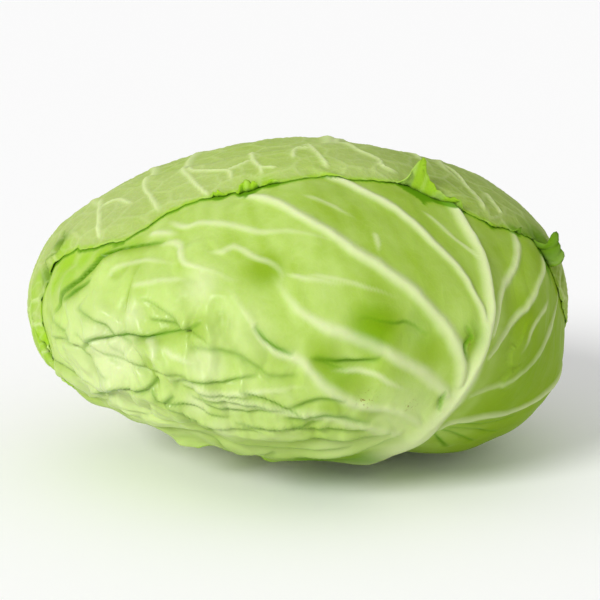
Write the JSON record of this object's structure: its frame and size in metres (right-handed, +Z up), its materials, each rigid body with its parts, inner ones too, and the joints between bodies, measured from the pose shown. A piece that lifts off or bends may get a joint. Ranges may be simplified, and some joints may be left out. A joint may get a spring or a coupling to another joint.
{
  "type": "cabbage head",
  "caption": "Flat-topped green cabbage head with a big ribbed front leaf, a veined top leaf that wraps over it, under leaves, a tight inner head and a cut stem.",
  "frame": {"origin": "centre of the cut stem's flat face, on the surface that the head rests on", "axes": "+Z up through the head, which is its shortest way; +X along its width; the front leaf with the thick rib faces -Y"},
  "size_m": [0.2406, 0.2301, 0.1417],
  "materials": {
    "stem": "moist cut stem, pale cream green, matte",
    "inner_leaf": "packed inner leaves, pale yellow green, satin",
    "front_leaf": "fresh leaf with pale ribs, yellow green, waxy gloss",
    "top_leaf": "fresh leaf with a grey green bloom and a net of pale veins, matte",
    "under_leaf": "fresh leaf with pale ribs, mid green, satin"
  },
  "bodies": {
    "root": {"stem": "stem", "packed_head": "inner_leaf", "front_leaf": "front_leaf", "top_leaf": "top_leaf", "left_under_leaf": "under_leaf", "right_under_leaf": "under_leaf"}
  },
  "joints": []
}
